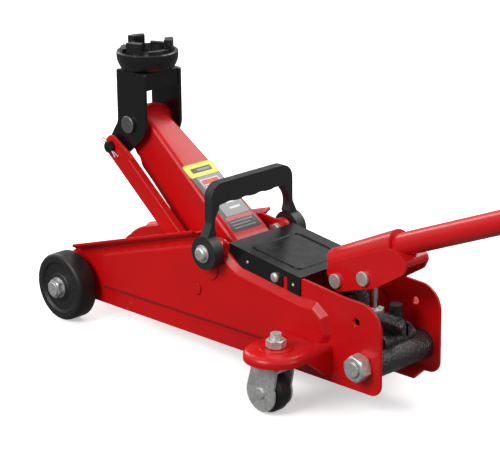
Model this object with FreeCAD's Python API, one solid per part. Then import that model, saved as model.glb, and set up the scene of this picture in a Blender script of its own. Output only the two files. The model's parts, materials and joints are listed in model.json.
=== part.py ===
import FreeCAD
import Part
import math
import os

# Hydraulic trolley jack, arm part raised. Millimetres, +Z up, floor at z = 0.
# Shapes are drawn with x = 0 at the front axle, +X to the handle, then moved by place().
Vec = FreeCAD.Vector

# running fit, gap between separate bodies, sheet of the chassis
FIT = 0.06
GAP = 0.3
SHEET = 3.0

# chassis plates
PLATE_OUT = 40.5
PLATE_IN = PLATE_OUT - SHEET
PRESS = 5.5
PRESS_OUT = PLATE_OUT + PRESS
PRESS_IN = PRESS_OUT - SHEET
PRESS_SLOPE = 6.0
CHASSIS_REAR = 410.5
SILL_FRONT = 19.5
SILL_REAR = 26.2
FOOT_RUN = (240.0, 394.0)
FOOT_WIDTH = 14.5
FOOT_DROP = 4.0
TIE = (75.0, 27.0)
TIE_R = 4.0
STRING_HOLE = (381.5, 90.5)
STRING_HOLE_R = 3.5
PAD_R = 11.0

# front wheels and axles
WHEEL_R = 34.4
WHEEL_WIDTH = 22.5
WHEEL_IN = PLATE_OUT + 6.3
WHEEL_OUT = WHEEL_IN + WHEEL_WIDTH
WHEEL_ROUND = 4.0
WHEEL_RIM = 8.4
WHEEL_DISH = 2.2
HUB_R = 14.5
HUB_FACE = WHEEL_OUT - 1.2
AXLE_R = 7.0
AXLE_COLLAR_R = 12.0
AXLE_NUT_FLATS = 17.0
AXLE_NUT = 5.6
AXLE_END = WHEEL_OUT + 8
WASHER = 1.8
WASHER_R = 10.5

# sloping flange over the front wheels
FLANGE_RUN = (2.0, 182.0)
FLANGE_Z = (2 * WHEEL_R + 1.4, 126.0)
FLANGE_OUT = PLATE_OUT + 11
FLANGE_RISE = 3.2

# cover
COVER_X = (222.0, 314.0)
COVER_Z = (127.0, 115.5)
COVER_SHEET = 1.6
COVER_SKIRT = 18.0
COVER_BORDER = 4.0
STUD_SPOT = (283.3, 108.6)
STUD_SHANK_R = 3.0
STUD_HEAD_R = 4.6

# lift linkage
MAIN = (200.5, 97.5)
SADDLE_PIVOT = (64.0, 206.8)
LINK_STEP = (-19.5, -24.5)
LINK_TOP = (SADDLE_PIVOT[0] + LINK_STEP[0], SADDLE_PIVOT[1] + LINK_STEP[1])
LINK_FOOT = (MAIN[0] + LINK_STEP[0], MAIN[1] + LINK_STEP[1])
MAIN_R = 8.0
MAIN_COLLAR_R = MAIN_R + 1
MAIN_HEAD_R = MAIN_R + 2.5
MAIN_HUB_R = MAIN_R + 5
LINK_OUT = PLATE_IN - 6.2
LINK_IN = LINK_OUT - SHEET
LINK_LIP = PLATE_IN - 0.9
LINK_STUB_R = 6.0
LINK_STUB_HEAD = 1.4
LINK_COLLAR_R = 9.0
ARM_NOSE_HALF = 15.5
ARM_BASE_HALF = LINK_IN - 3.8
ARM_SHEET = 3.5
ARM_ROUND = 5.0
ARM_BEND = 150.0
NOSE_HUB_R = 13.0
SADDLE_PIN_R = 7.0
SADDLE_PIN_HEAD_R = SADDLE_PIN_R + 1.7
SADDLE_PIN_HEAD = 3.2
LINK_PIN_R = 5.5
SPLIT_PIN_R = 1.3

# saddle and its bracket
BRACKET_OUT = 24.0
BRACKET_SHEET = 3.5
BRACKET_TOP = 259.5
BRACKET_X = (47.0, 87.5)
SADDLE_X = 66.0
SADDLE_R = 30.0
SADDLE_RIM = 277.5
SADDLE_DEPTH = 6.0
SADDLE_STEM_R = 9.0
LUG_TOP = 288.0
LUG_R = 25.5
LUG_BORE = 17.5

# hydraulic unit
RAM_PIVOT = (185.0, 55.0)
RAM_Z = 56.0
RAM_R = 9.0
RAM_PIN_R = 6.0
RAM_PIN_HEAD = 1.6
RAM_HEAD_HALF = 10.0
TANK_X = (250.0, 348.0)
TANK_R = 25.0
TANK_WALL = 3.0
GLAND = 8.0
BLOCK_X = 374.0
BLOCK_HALF = 26.0
TRUNNION = (389.0, 51.4)
TRUNNION_R = 14.8
TRUNNION_FLATS = 22.0
TRUNNION_NUT = 12.0
STUD_R = 7.0
STUD_OUT = 14.0
PUMP_X = 365.0
PUMP_R = 11.0
PUMP_TOP = 84.0
PLUNGER_R = 4.5
FILLER = (380.0, 13.0)
FILLER_R = 7.0
VALVE = (-2.0, 80.0)
VALVE_R = 8.0
VALVE_STEM_R = 4.0
VALVE_FACE = 398.0
SPRING_R = 4.4
SPRING_WIRE = 1.2
SPRING_Y = PLATE_IN - 6.5
SPRING_PEG = (205.0, 62.0)
SPRING_ANCHOR = (357.0, 44.0)
PEG_R = 3.0

# pump socket and handle
SOCKET_PIVOT = (333.0, 110.5)
PUMP_PIN = (366.5, 121.0)
SOCKET_PIN_R = 5.0
PUMP_PIN_R = 4.0
PIN_HEAD_R = 6.8
PIN_HEAD = 3.0
HANDLE_TILT = 22.5
MOUTH = (396.0, 155.5)
HANDLE_R = 10.5
HANDLE_WALL = 2.0
HANDLE_DEPTH = 30.0
HANDLE_OUT = 460.0
SOCKET_LEN = 84.0
SOCKET_WALL = 3.5
SOCKET_MOUTH_R = HANDLE_R + 4
SOCKET_TAIL_R = 11.0
SOCKET_HALF = SOCKET_MOUTH_R + 0.5
GRIP_LEN = 110.0
GRIP_R = HANDLE_R + 2.5

# carrying handle
CARRY = (206.0, 117.0)
CARRY_BOSS_R = 16.0
CARRY_IN = PRESS_OUT + 2.5
CARRY_OUT = CARRY_IN + 11.5
CARRY_DEPTH = 10.0
CARRY_LEG_OUT = CARRY_OUT - 7.5
CARRY_LEG_IN = CARRY_LEG_OUT - 9
CARRY_TOP = 182.0
CARRY_GRIP_Z = 159.5
CARRY_BOLT_R = 4.0
CARRY_WASHER = 1.5
FINGER_R = 19.0
FINGER_DEPTH = 3.0

# rear casters
CASTER = (323.5, PLATE_OUT + 41.5)
CASTER_TRAIL = 8.5
CASTER_R = 20.0
CASTER_HALF = 9.0
CASTER_AXLE_R = 4.0
FORK_HALF = 11.8
FORK_SHEET = 2.2
FORK_DISC_R = 17.5
FORK_TOP = 46.0
CASTER_STUD_R = 5.0
CASTER_STUD = 14.4
TONGUE_TOP = 62.0
TONGUE_R = 29.5
TONGUE_RIM = PLATE_OUT + 12
TONGUE_BOSS = 1.0

HANDLE_DIR = (math.cos(math.radians(HANDLE_TILT)), math.sin(math.radians(HANDLE_TILT)))
HANDLE_END_X = MOUTH[0] + HANDLE_DIR[0] * HANDLE_OUT + HANDLE_DIR[1] * GRIP_R
MIDDLE_X = (HANDLE_END_X - WHEEL_R) / 2


# ---- shape helpers ----------------------------------------------------------
def box(x0, x1, y0, y1, z0, z1):
    return Part.makeBox(x1 - x0, y1 - y0, z1 - z0, Vec(x0, y0, z0))


def cyl_y(at, radius, y0, y1):
    return Part.makeCylinder(radius, y1 - y0, Vec(at[0], y0, at[1]), Vec(0, 1, 0))


def cyl_z(at, radius, z0, z1):
    return Part.makeCylinder(radius, z1 - z0, Vec(at[0], at[1], z0), Vec(0, 0, 1))


def cyl_x(at, radius, x0, x1):
    return Part.makeCylinder(radius, x1 - x0, Vec(x0, at[0], at[1]), Vec(1, 0, 0))


def rounded(points):
    """Closed outline as 2D pieces; a point is (a, b) or (a, b, corner radius)."""
    pieces = []
    count = len(points)
    ends = []
    for i, point in enumerate(points):
        here = Vec(point[0], point[1], 0)
        radius = point[2] if len(point) > 2 else 0
        if not radius:
            ends.append((here, None, here))
            continue
        back = Vec(points[i - 1][0], points[i - 1][1], 0) - here
        on = Vec(points[(i + 1) % count][0], points[(i + 1) % count][1], 0) - here
        back.normalize()
        on.normalize()
        half = back.getAngle(on) / 2
        cut = radius / math.tan(half)
        middle = back + on
        middle.normalize()
        crown = here + middle * (radius / math.sin(half) - radius)
        ends.append((here + back * cut, crown, here + on * cut))
    for i, (start, crown, stop) in enumerate(ends):
        if crown is not None:
            pieces.append((start, crown, stop))
        following = ends[(i + 1) % count][0]
        if (following - stop).Length > 1e-6:
            pieces.append((stop, following))
    return pieces


def outline_face(points, lift):
    edges = []
    for piece in rounded(points):
        spots = [lift(p.x, p.y) for p in piece]
        if len(spots) == 3:
            edges.append(Part.Arc(*spots).toShape())
        else:
            edges.append(Part.makeLine(*spots))
    return Part.Face(Part.Wire(edges))


def prism_y(points, y0, y1):
    return outline_face(points, lambda a, b: Vec(a, y0, b)).extrude(Vec(0, y1 - y0, 0))


def prism_x(points, x0, x1):
    return outline_face(points, lambda a, b: Vec(x0, a, b)).extrude(Vec(x1 - x0, 0, 0))


def prism_z(points, z0, z1):
    return outline_face(points, lambda a, b: Vec(a, b, z0)).extrude(Vec(0, 0, z1 - z0))


def hexagon(flats):
    radius = flats / math.sqrt(3)
    turns = [math.radians(60 * k) for k in range(6)]
    return [(radius * math.cos(t), radius * math.sin(t)) for t in turns]


def hex_y(at, flats, y0, y1):
    return prism_y([(at[0] + b, at[1] + a) for a, b in hexagon(flats)], y0, y1)


def hex_z(at, flats, z0, z1):
    return prism_z([(at[0] + a, at[1] + b) for a, b in hexagon(flats)], z0, z1)


def inset(points, distance):
    """Anticlockwise outline moved inwards by a distance, one point for each point."""
    moved = []
    count = len(points)
    for i, here in enumerate(points):
        before = points[i - 1]
        after = points[(i + 1) % count]
        into = Vec(here[0] - before[0], here[1] - before[1], 0)
        away = Vec(after[0] - here[0], after[1] - here[1], 0)
        into.normalize()
        away.normalize()
        normal = Vec(-into.y - away.y, into.x + away.x, 0)
        normal.normalize()
        reach = distance / max(0.3, normal.x * -away.y + normal.y * away.x)
        moved.append((here[0] + normal.x * reach, here[1] + normal.y * reach))
    return moved


def loft_y(first, y0, second, y1):
    wires = []
    for points, y in ((first, y0), (second, y1)):
        loop = [Vec(a, y, b) for a, b in points]
        wires.append(Part.makePolygon(loop + loop[:1]))
    return Part.makeLoft(wires, True, True)


def fuse(*shapes):
    return shapes[0].multiFuse(list(shapes[1:])).removeSplitter()


def turned(profile, at, axis):
    """Solid of revolution; profile is (radius, height along the axis)."""
    wire = Part.makePolygon([Vec(r, 0, h) for r, h in profile + profile[:1]])
    solid = Part.Face(wire).revolve(Vec(0, 0, 0), Vec(0, 0, 1), 360)
    if axis == "y":
        solid.rotate(Vec(0, 0, 0), Vec(1, 0, 0), -90)
    solid.translate(Vec(*at))
    return solid


def mirrored(shape):
    return shape.mirror(Vec(0, 0, 0), Vec(0, 1, 0))


def sill(x):
    return SILL_FRONT + (SILL_REAR - SILL_FRONT) * (x - 18) / (CHASSIS_REAR - 18)


def cover_top(x):
    return COVER_Z[0] + (COVER_Z[1] - COVER_Z[0]) * (x - COVER_X[0]) / (COVER_X[1] - COVER_X[0])


def along_handle(distance, across=0.0):
    return (MOUTH[0] + HANDLE_DIR[0] * distance - HANDLE_DIR[1] * across,
            MOUTH[1] + HANDLE_DIR[1] * distance + HANDLE_DIR[0] * across)


def on_handle(shape_start, length, radius, radius_end=None):
    base = Vec(shape_start[0], 0, shape_start[1])
    way = Vec(HANDLE_DIR[0], 0, HANDLE_DIR[1])
    if radius_end is None:
        return Part.makeCylinder(radius, length, base, way)
    return Part.makeCone(radius, radius_end, length, base, way)


# ---- chassis ----------------------------------------------------------------
PRESSING = [(36, 36), (338, 43.5), (352, 70), (348, 88), (334, 97.5), (316, 96.5), (238, 105.5),
            (224, 113), (215, 123.5), (184, 123), (60, 84.5), (38, 78)]


def pressing(y_base, y_top, grow=0.0):
    top = inset(PRESSING, PRESS_SLOPE)
    solid = loft_y(PRESSING, y_base, top, y_top)
    if grow:
        solid = fuse(solid, prism_y(PRESSING, y_base - grow, y_base))
    return solid


def side_plate():
    skin_top = cover_top(COVER_X[0]) - COVER_SHEET
    rear_top = cover_top(COVER_X[1]) - COVER_SHEET
    panel = [(FLANGE_RUN[0], FLANGE_Z[0] + SHEET), (-20, 57.5, 8), (-27, 40, 9), (-17, SILL_FRONT - 0.3, 11),
             (18, SILL_FRONT), (CHASSIS_REAR, SILL_REAR, 12), (CHASSIS_REAR, 108.5, 23), (364, 110, 20),
             (COVER_X[1] + 2, rear_top + 0.4), (COVER_X[1], rear_top), (COVER_X[0], skin_top),
             (FLANGE_RUN[1], FLANGE_Z[1] + SHEET)]
    plate = prism_y(panel, PLATE_IN, PLATE_OUT)
    pad = cyl_y(CARRY, PAD_R, PLATE_IN, PRESS_OUT)
    pad = pad.cut(cyl_y(MAIN, MAIN_COLLAR_R + FIT, PLATE_IN - 1, PRESS_IN))
    plate = plate.fuse(pressing(PLATE_OUT, PRESS_OUT))
    plate = plate.cut(pressing(PLATE_IN, PRESS_IN, 1.0))
    lip = [(PLATE_IN, 0), (PRESS_OUT, 0), (FLANGE_OUT, FLANGE_RISE), (FLANGE_OUT, FLANGE_RISE + SHEET),
           (PRESS_OUT, SHEET), (PLATE_IN, SHEET)]
    flange = sloping(lip, FLANGE_RUN, FLANGE_Z)
    foot_in = PLATE_IN - FOOT_WIDTH
    foot = [(PLATE_OUT, 0), (PLATE_IN, 0), (foot_in, -FOOT_DROP), (foot_in, SHEET - FOOT_DROP),
            (PLATE_IN, SHEET), (PLATE_OUT, SHEET)]
    plate = fuse(plate, pad, flange, sloping(foot, FOOT_RUN, (sill(FOOT_RUN[0]), sill(FOOT_RUN[1]))))
    holes = [((0, WHEEL_R), AXLE_R), (MAIN, MAIN_R), (LINK_FOOT, LINK_STUB_R), (CARRY, CARRY_BOLT_R),
             (TIE, TIE_R), (TRUNNION, STUD_R), (STRING_HOLE, STRING_HOLE_R)]
    for spot, radius in holes:
        plate = plate.cut(cyl_y(spot, radius, PLATE_IN - 2, PRESS_OUT + 2))
    return plate


def sloping(section, run, heights):
    """Strip of one (y, z) section along X, from the first height to the second."""
    face = outline_face(section, lambda a, b: Vec(run[0], a, heights[0] + b))
    return face.extrude(Vec(run[1] - run[0], 0, heights[1] - heights[0]))


def top_cover():
    x0, x1 = COVER_X
    edge = PLATE_OUT + COVER_SHEET
    top = prism_y([(x0, cover_top(x0)), (x1, cover_top(x1)), (x1, cover_top(x1) - COVER_SHEET),
                   (x0, cover_top(x0) - COVER_SHEET)], -edge, edge)
    skirt_line = [(x0, cover_top(x0)), (x0, cover_top(x0) - 8, 5),
                  (x0 + 15, cover_top(x0 + 15) - COVER_SKIRT, 12),
                  (x1, cover_top(x1) - COVER_SKIRT), (x1, cover_top(x1))]
    skirt = prism_y(skirt_line, PLATE_OUT, edge)
    notch = box(x1 - 22.5, x1 - 16.5, PLATE_OUT - 1, edge + 1, 90, cover_top(x1 - 20) - 6)
    skirt = skirt.cut(notch).cut(cyl_y(STUD_SPOT, STUD_SHANK_R, PLATE_OUT - 1, edge + 1))
    outer = rectangle(x0 + 16, x1 - 12, PLATE_OUT - 9.5, 6)
    inner = rectangle(x0 + 16 + COVER_BORDER, x1 - 12 - COVER_BORDER, PLATE_OUT - 9.5 - COVER_BORDER, 4)
    border = prism_z(outer, 80, 140).cut(prism_z(inner, 70, 150))
    band = prism_y([(x0, cover_top(x0) + 1), (x1, cover_top(x1) + 1), (x1, cover_top(x1) - 0.5),
                    (x0, cover_top(x0) - 0.5)], -PLATE_OUT, PLATE_OUT)
    return fuse(top, skirt, mirrored(skirt), border.common(band))


def rectangle(x0, x1, half, corner):
    return [(x0, -half, corner), (x1, -half, corner), (x1, half, corner), (x0, half, corner)]


def cover_stud():
    edge = PLATE_OUT + COVER_SHEET
    shank = cyl_y(STUD_SPOT, STUD_SHANK_R, PLATE_OUT, edge)
    head = turned([(0, 0), (STUD_HEAD_R, 0), (STUD_HEAD_R, 2.2), (STUD_HEAD_R - 1.2, 3.4), (0, 3.9)],
                  (STUD_SPOT[0], edge, STUD_SPOT[1]), "y")
    return fuse(shank, head)


def front_axle():
    centre = (0, WHEEL_R)
    collar = cyl_y(centre, AXLE_COLLAR_R, PLATE_OUT, WHEEL_IN - GAP)
    return fuse(cyl_y(centre, AXLE_R, PLATE_IN, AXLE_END), collar)


def front_wheel():
    r = WHEEL_R
    e = WHEEL_ROUND
    bore = AXLE_R + FIT
    turns = [math.radians(22.5 * k) for k in range(5)]
    back = [(r - e + e * math.sin(t), WHEEL_IN + e - e * math.cos(t)) for t in turns]
    front = [(r - e + e * math.cos(t), WHEEL_OUT - e + e * math.sin(t)) for t in turns]
    dish = WHEEL_OUT - WHEEL_DISH
    face = [(r - WHEEL_RIM, WHEEL_OUT), (r - WHEEL_RIM - 2, dish), (HUB_R, dish), (HUB_R - 1, HUB_FACE),
            (bore, HUB_FACE)]
    return turned([(bore, WHEEL_IN)] + back + front + face, (0, 0, WHEEL_R), "y")


def axle_washer():
    centre = (0, WHEEL_R)
    face = HUB_FACE + GAP
    return cyl_y(centre, WASHER_R, face, face + WASHER).cut(cyl_y(centre, AXLE_R, face - 1, face + 3))


def axle_nut():
    centre = (0, WHEEL_R)
    face = HUB_FACE + GAP + WASHER
    nut = hex_y(centre, AXLE_NUT_FLATS, face, face + AXLE_NUT)
    return nut.cut(cyl_y(centre, AXLE_R, face - 1, face + AXLE_NUT + 1))


def main_shaft():
    half = fuse(cyl_y(MAIN, MAIN_R, 0, PRESS_OUT),
                cyl_y(MAIN, MAIN_COLLAR_R, ARM_BASE_HALF + GAP, PRESS_IN),
                cyl_y(MAIN, MAIN_HEAD_R, PRESS_OUT, PRESS_OUT + 1.6))
    return fuse(half, mirrored(half))


def front_tie():
    return cyl_y(TIE, TIE_R, -PLATE_OUT, PLATE_OUT)


def link_stub():
    face = LINK_IN - GAP
    shank = cyl_y(LINK_FOOT, LINK_STUB_R, face, PRESS_OUT + 1.2)
    collar = cyl_y(LINK_FOOT, LINK_COLLAR_R, LINK_OUT + GAP, PRESS_IN)
    head = cyl_y(LINK_FOOT, LINK_STUB_R + 2.5, face - LINK_STUB_HEAD, face)
    return fuse(shank, collar, head)


def carry_bolt():
    under = CARRY_OUT + GAP
    washer = cyl_y(CARRY, 8.6, under, under + CARRY_WASHER)
    head = turned([(0, 0), (6.6, 0), (6.6, 2.6), (5.2, 3.8), (0, 4.2)],
                  (CARRY[0], under + CARRY_WASHER, CARRY[1]), "y")
    shank = cyl_y(CARRY, CARRY_BOLT_R, PLATE_IN, under)
    nut = hex_y(CARRY, 13, PLATE_IN - 5.5, PLATE_IN)
    return fuse(shank, washer, head, nut)


def caster_bracket():
    x, y = CASTER

    def body(margin, z0, z1, ease):
        r = TONGUE_R - margin
        slab = box(x - r, x + r, PLATE_OUT, y, z0, z1)
        solid = fuse(slab, cyl_z(CASTER, r, z0, z1))
        rim = [e for e in solid.Edges if e.BoundBox.ZMin > z1 - 0.01 and e.BoundBox.YMax > PLATE_OUT + 1]
        return solid.makeFillet(ease, rim)

    shell = body(0, 30, TONGUE_TOP, 6).cut(body(SHEET, 20, TONGUE_TOP - SHEET, 3))
    far = y + 2 * TONGUE_R
    under = prism_x([(PLATE_OUT - 10, 10), (far, 10), (far, TONGUE_RIM), (y - 10, TONGUE_RIM, 8),
                     (PLATE_OUT + 9.5, 35, 5), (PLATE_OUT - 10, 35)], x - 2 * TONGUE_R, x + 2 * TONGUE_R)
    boss = cyl_z(CASTER, TONGUE_R / 2, TONGUE_TOP - SHEET, TONGUE_TOP + TONGUE_BOSS)
    shell = fuse(shell.cut(under), boss)
    shell = shell.cut(cyl_z(CASTER, CASTER_STUD_R + FIT, 40, 80))
    return shell.cut(pressing(PLATE_OUT, PRESS_OUT, 5.0))


# ---- casters ----------------------------------------------------------------
CASTER_HUB = (CASTER[0] - CASTER_TRAIL, CASTER_R)


def caster_fork():
    x, y = CASTER
    top = box(x - 19, x + 12, y - FORK_HALF, y + FORK_HALF, FORK_TOP - FORK_SHEET, FORK_TOP)
    collar = cyl_z(CASTER, 12, FORK_TOP, TONGUE_TOP - SHEET - GAP)
    stud = cyl_z(CASTER, CASTER_STUD_R, FORK_TOP, TONGUE_TOP + CASTER_STUD)
    hub_x, hub_z = CASTER_HUB
    cheek_line = [(x - 19, FORK_TOP, 3), (hub_x - FORK_DISC_R + 1, hub_z + 6), (hub_x, hub_z),
                  (hub_x + FORK_DISC_R - 1, hub_z + 6), (x + 12, FORK_TOP, 3)]
    shapes = [top, collar, stud]
    for side in (-1, 1):
        inner = y + side * (FORK_HALF - FORK_SHEET)
        outer = y + side * FORK_HALF
        faces = (min(inner, outer), max(inner, outer))
        shapes += [prism_y(cheek_line, *faces), cyl_y(CASTER_HUB, FORK_DISC_R, *faces)]
    fork = fuse(*shapes)
    return fork.cut(cyl_y(CASTER_HUB, CASTER_AXLE_R, y - 20, y + 20))


def caster_wheel():
    r = CASTER_R
    h = CASTER_HALF
    bore = CASTER_AXLE_R + FIT
    hub = r - 6
    profile = [(bore, -h), (hub, -h), (hub + 0.5, 1.2 - h), (r - 2.5, 1.2 - h), (r, 4.5 - h), (r, h - 4.5),
               (r - 2.5, h - 1.2), (hub + 0.5, h - 1.2), (hub, h), (bore, h)]
    return turned(profile, (CASTER_HUB[0], CASTER[1], CASTER_R), "y")


def caster_axle():
    y = CASTER[1]
    shank = cyl_y(CASTER_HUB, CASTER_AXLE_R, y - FORK_HALF, y + FORK_HALF)
    caps = []
    for side in (-1, 1):
        cap = [(0, 0), (CASTER_AXLE_R + 2, 0), (CASTER_AXLE_R + 1, side * 1.6), (0, side * 2.2)]
        caps.append(turned(cap, (CASTER_HUB[0], y + side * FORK_HALF, CASTER_R), "y"))
    return fuse(shank, *caps)


def caster_nut():
    low = TONGUE_TOP + TONGUE_BOSS + GAP
    return hex_z(CASTER, 16, low, low + 7.5).cut(cyl_z(CASTER, CASTER_STUD_R, low - 1, low + 9))


# ---- lift linkage -----------------------------------------------------------
ARM_SLOPE = (223.0 - 123.9) / (208.0 - 66.0)


def arm_top(x):
    return 223.0 - ARM_SLOPE * (x - 66.0)


def plan(trim):
    nose = ARM_NOSE_HALF - trim
    base = ARM_BASE_HALF - trim
    side = [(30, nose), (84, nose, ARM_BEND), (198, base, ARM_BEND), (240, base)]
    return [(p[0], -p[1]) + p[2:] for p in side] + side[::-1]


def on_ridge(edge):
    """Edges where the arm's sloping top meets its sides."""
    ends = [v.Point for v in edge.Vertexes]
    level = all(abs(p.z - arm_top(p.x)) < 0.5 for p in ends)
    return len(ends) == 2 and level and abs(ends[0].x - ends[1].x) > 3 and abs(ends[0].y) > 5


def lift_arm():
    skin = [(61, arm_top(61), 12), (209, arm_top(209), 9), (224, 108), (224, 84, 12), (210, 58, 8),
            (197, 42.5, 11), (171, 42.5, 11), (170, 66, 10), (152, 98, 30), (126, 121.5, 20), (73, 163.5, 4),
            (60, 182, 4), (51, 192, 8), (47, 210)]
    drop = ARM_SHEET / math.cos(math.atan(ARM_SLOPE))
    back = 224 - ARM_SHEET
    hollow = [(54, arm_top(54) - 14, 4), (67, arm_top(67) - drop, 6), (207, arm_top(207) - drop, 6),
              (back, 104, 6), (back, 20), (54, 20)]
    arm = prism_y(skin, -40, 40).common(prism_z(plan(0), 0, 300))
    arm = arm.makeFillet(ARM_ROUND, [e for e in arm.Edges if on_ridge(e)])
    arm = arm.cut(prism_y(hollow, -40, 40).common(prism_z(plan(ARM_SHEET), -10, 310)))
    arm = arm.cut(cyl_y((61.5, 167.0), 9, -40, 40))
    nose_half = BRACKET_OUT - BRACKET_SHEET - GAP
    nose = cyl_y(SADDLE_PIVOT, NOSE_HUB_R, -nose_half, nose_half)
    hub = cyl_y(MAIN, MAIN_HUB_R, -ARM_BASE_HALF, ARM_BASE_HALF)
    peg = cyl_y(SPRING_PEG, PEG_R, ARM_BASE_HALF - 1, SPRING_Y + 4)
    arm = fuse(arm, nose, hub, peg, mirrored(peg))
    bores = ((SADDLE_PIVOT, SADDLE_PIN_R + FIT), (MAIN, MAIN_R + FIT), (RAM_PIVOT, RAM_PIN_R))
    for spot, radius in bores:
        arm = arm.cut(cyl_y(spot, radius, -60, 60))
    return arm


def ram_pin():
    half = fuse(cyl_y(RAM_PIVOT, RAM_PIN_R, 0, ARM_BASE_HALF),
                cyl_y(RAM_PIVOT, RAM_PIN_R + 2, ARM_BASE_HALF, ARM_BASE_HALF + RAM_PIN_HEAD))
    return fuse(half, mirrored(half))


def saddle_bracket():
    x0, x1 = BRACKET_X
    cheek_line = [(x0, BRACKET_TOP, 2), (x0, 207, 10), (33.5, 187, 4), (33.5, 171, 10.5), (52, 171, 9),
                  (x1, 199, 20), (x1, BRACKET_TOP, 2)]
    cheek = prism_y(cheek_line, BRACKET_OUT - BRACKET_SHEET, BRACKET_OUT)
    top = box(x0 + 1, x1 - 1, -BRACKET_OUT, BRACKET_OUT, BRACKET_TOP - BRACKET_SHEET, BRACKET_TOP)
    lip = box(x1 - 4, x1 - 1, 2 - BRACKET_OUT, BRACKET_OUT - 2, BRACKET_TOP - 16.5, BRACKET_TOP - 1)
    bracket = fuse(cheek, mirrored(cheek), top, lip)
    for spot, radius in ((SADDLE_PIVOT, SADDLE_PIN_R), (LINK_TOP, LINK_PIN_R + FIT)):
        bracket = bracket.cut(cyl_y(spot, radius, -60, 60))
    return bracket.cut(cyl_z((SADDLE_X, 0), SADDLE_STEM_R + FIT, BRACKET_TOP - 19, BRACKET_TOP + 10))


def saddle_pin():
    half = fuse(cyl_y(SADDLE_PIVOT, SADDLE_PIN_R, 0, BRACKET_OUT),
                cyl_y(SADDLE_PIVOT, SADDLE_PIN_HEAD_R, BRACKET_OUT, BRACKET_OUT + SADDLE_PIN_HEAD))
    return fuse(half, mirrored(half))


def saddle():
    seat = BRACKET_TOP + GAP
    r = SADDLE_R
    rim = SADDLE_RIM
    floor = rim - SADDLE_DEPTH
    foot = BRACKET_TOP - 9.5
    profile = [(0, foot), (SADDLE_STEM_R, foot), (SADDLE_STEM_R, seat), (r - 6, seat), (r - 3.8, seat + 1.5),
               (r - 1.8, seat + 5), (r - 0.4, seat + 9), (r, seat + 12), (r, rim - 1), (r - 1, rim),
               (r - 3.5, rim), (r - 6, floor), (0, floor)]
    centre = (SADDLE_X, 0)
    tall = cyl_z(centre, LUG_R, floor - 2, LUG_TOP).cut(cyl_z(centre, LUG_BORE, floor - 10, LUG_TOP + 10))
    low = cyl_z(centre, LUG_R + 0.5, floor - 1, rim + 3)
    low = low.cut(cyl_z(centre, LUG_BORE + 3.5, floor - 10, rim + 10))
    shapes = [turned(profile, (SADDLE_X, 0, 0), "z")]
    for turn in (46, 166, 286):
        shapes += [tall.common(wedge(turn, 40)), low.common(wedge(turn + 60, 50))]
    return fuse(*shapes)


def wedge(middle, spread):
    reach = 2 * SADDLE_R
    first = math.radians(middle - spread / 2)
    last = math.radians(middle + spread / 2)
    corners = [(SADDLE_X, 0), (SADDLE_X + reach * math.cos(first), reach * math.sin(first)),
               (SADDLE_X + reach * math.cos(last), reach * math.sin(last))]
    return prism_z(corners, 240, 300)


def saddle_ring():
    top = BRACKET_TOP - BRACKET_SHEET - GAP
    bore = cyl_z((SADDLE_X, 0), SADDLE_STEM_R, top - 10, top + 10)
    return cyl_z((SADDLE_X, 0), SADDLE_STEM_R + 3, top - 1.6, top).cut(bore)


LINK_RUN = (LINK_FOOT[0] - LINK_TOP[0], LINK_FOOT[1] - LINK_TOP[1])
LINK_LEN = math.hypot(*LINK_RUN)


def on_link(s, t):
    ux, uz = LINK_RUN[0] / LINK_LEN, LINK_RUN[1] / LINK_LEN
    return (LINK_TOP[0] + ux * s - uz * t, LINK_TOP[1] + uz * s + ux * t)


def link_rod():
    end = LINK_LEN
    line = [(-10, -9.5, 9), (-10, 10, 9), (22, 15, 12), (end - 8, 15, 10), (end + 11, 11, 10),
            (end + 11, -10, 10), (end - 30, -9.5, 8)]
    web = prism_y([on_link(s, t) + (r,) for s, t, r in line], LINK_IN, LINK_OUT)
    lip_line = [(28, 15 - SHEET), (28, 15), (end - 24, 15), (end - 24, 15 - SHEET)]
    lip = prism_y([on_link(s, t) for s, t in lip_line], LINK_OUT, LINK_LIP)
    rod = fuse(web, lip).cut(cyl_y(LINK_TOP, LINK_PIN_R, LINK_IN - 5, LINK_OUT + 10))
    return rod.cut(cyl_y(LINK_FOOT, LINK_STUB_R + FIT, LINK_IN - 5, LINK_OUT + 10))


def link_pin():
    shank = cyl_y(LINK_TOP, LINK_PIN_R, -LINK_OUT - 4.7, LINK_OUT)
    head = cyl_y(LINK_TOP, LINK_PIN_R + 2, LINK_OUT, LINK_OUT + 3)
    return fuse(shank, head).cut(pin_bore(SPLIT_PIN_R, -20, 20))


def pin_bore(radius, s0, s1):
    start = on_link(s0, 0)
    way = Vec(LINK_RUN[0], 0, LINK_RUN[1])
    return Part.makeCylinder(radius, s1 - s0, Vec(start[0], -LINK_OUT - 2.4, start[1]), way)


def split_pin():
    ring_at = on_link(-LINK_PIN_R - 3.7, 0)
    ring = cyl_y(ring_at, 2.9, -LINK_OUT - 3.4, -LINK_OUT - 1.4)
    ring = ring.cut(cyl_y(ring_at, 1.6, -LINK_OUT - 5, -LINK_OUT))
    return fuse(pin_bore(SPLIT_PIN_R, -LINK_PIN_R - 1.5, LINK_PIN_R + 8.5), ring)


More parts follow.
